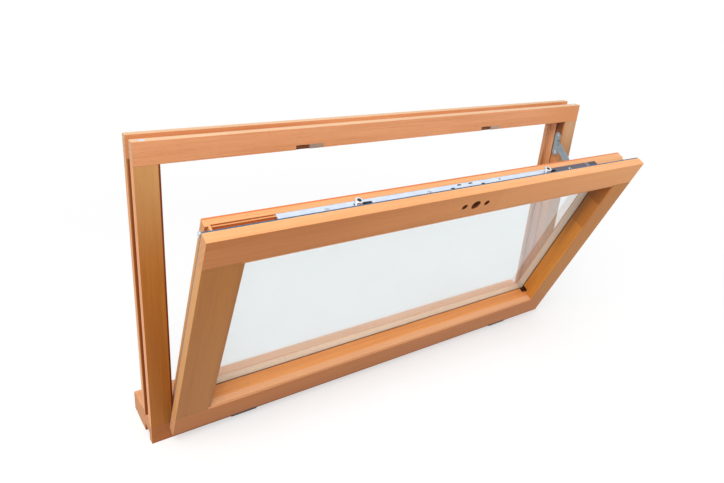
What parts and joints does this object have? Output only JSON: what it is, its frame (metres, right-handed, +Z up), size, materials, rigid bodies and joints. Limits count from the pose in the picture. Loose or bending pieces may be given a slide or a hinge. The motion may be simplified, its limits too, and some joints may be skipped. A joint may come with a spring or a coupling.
{
  "type": "hopper window",
  "caption": "Small wooden hopper window: a glazed sash hinged at its bottom rail and tilted into the room on a side stay, in a frame with an outdoor sill nosing.",
  "frame": {"origin": "on the underside of the sill, below the outdoor face of the frame, at mid width", "axes": "X along the width, +Y outdoors, +Z up; the sash tilts towards -Y, into the room"},
  "size_m": [0.84, 0.2728, 0.47],
  "materials": {
    "frame_wood": "clear satin varnish on planed timber",
    "sash_wood": "clear satin varnish on planed timber",
    "bead_wood": "clear satin varnish on planed timber",
    "rubber_seal": "matt extruded seal",
    "clear_glass": "polished",
    "dark_metal": "dark stove enamel",
    "zinc_metal": "bright zinc plate"
  },
  "bodies": {
    "root": {"bead_bottom": "bead_wood", "bead_left": "bead_wood", "bead_right": "bead_wood", "bead_top": "bead_wood", "frame_head": "frame_wood", "frame_jamb_left": "frame_wood", "frame_jamb_right": "frame_wood", "frame_sill": "frame_wood", "glass_pane": "clear_glass", "glazing_seal": "rubber_seal", "head_fastener_left": "zinc_metal", "head_fastener_right": "zinc_metal", "hinge_frame_leaf_left": "dark_metal", "hinge_frame_leaf_right": "dark_metal", "hinge_pin_left": "dark_metal", "hinge_pin_right": "dark_metal", "hinge_sash_leaf_left": "dark_metal", "hinge_sash_leaf_right": "dark_metal", "lock_box": "zinc_metal", "lock_faceplate": "zinc_metal", "locking_cam_left": "zinc_metal", "locking_cam_right": "zinc_metal", "sash_bottom_rail": "sash_wood", "sash_seal": "rubber_seal", "sash_stile_left": "sash_wood", "sash_stile_right": "sash_wood", "sash_top_rail": "sash_wood", "side_stud": "zinc_metal", "stay_arm": "zinc_metal", "stay_guide": "zinc_metal", "stay_pin": "zinc_metal", "stay_plate": "zinc_metal", "stay_rivet": "zinc_metal", "striker_left": "zinc_metal", "striker_right": "zinc_metal"}
  },
  "joints": []
}
